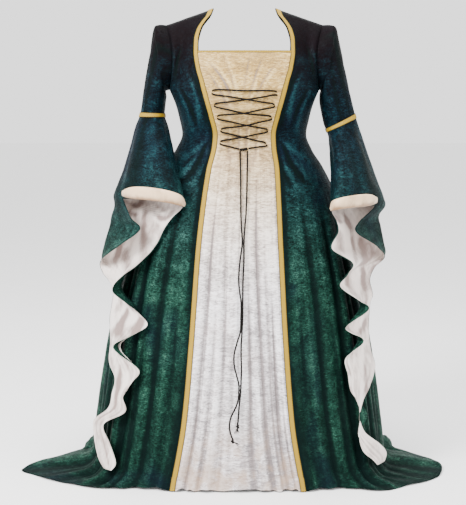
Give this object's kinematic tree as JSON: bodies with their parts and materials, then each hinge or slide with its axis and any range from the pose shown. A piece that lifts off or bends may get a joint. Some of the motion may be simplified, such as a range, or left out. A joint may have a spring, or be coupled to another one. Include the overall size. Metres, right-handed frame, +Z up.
{
  "type": "medieval gown",
  "caption": "Floor-length green velvet medieval gown with an ivory laced front, gold braid, a train and lined bell sleeves with long tails.",
  "frame": {"origin": "between the two neck points, where the wearer's shoulders carry the gown", "axes": "+Z up, the front of the gown faces -Y, the wearer's left is +X"},
  "size_m": [1.3233, 1.1323, 1.4516],
  "materials": {
    "green_velvet": "matte",
    "ivory_velvet": "matte",
    "ivory_satin": "satin",
    "gold_braid": "satin",
    "black_cord": "matte"
  },
  "bodies": {
    "root": {"front_panel": "ivory_velvet", "centre_back_panel": "green_velvet", "side_front_panel_right": "green_velvet", "side_back_panel_right": "green_velvet", "sleeve_head_right": "green_velvet", "upper_sleeve_right": "green_velvet", "bell_sleeve_right": "green_velvet", "sleeve_tail_right": "green_velvet", "bell_lining_right": "ivory_satin", "cuff_right": "ivory_velvet", "front_braid_right": "gold_braid", "back_neck_braid_right": "gold_braid", "elbow_braid_right": "gold_braid", "cord_end_right": "black_cord", "cord_knot_right": "black_cord", "side_front_panel_left": "green_velvet", "side_back_panel_left": "green_velvet", "sleeve_head_left": "green_velvet", "upper_sleeve_left": "green_velvet", "bell_sleeve_left": "green_velvet", "sleeve_tail_left": "green_velvet", "bell_lining_left": "ivory_satin", "cuff_left": "ivory_velvet", "front_braid_left": "gold_braid", "back_neck_braid_left": "gold_braid", "elbow_braid_left": "gold_braid", "cord_end_left": "black_cord", "cord_knot_left": "black_cord", "neck_edge_braid": "gold_braid", "back_neck_braid_centre": "gold_braid", "lace_a": "black_cord", "lace_b": "black_cord", "lace_tie": "black_cord"}
  },
  "joints": []
}
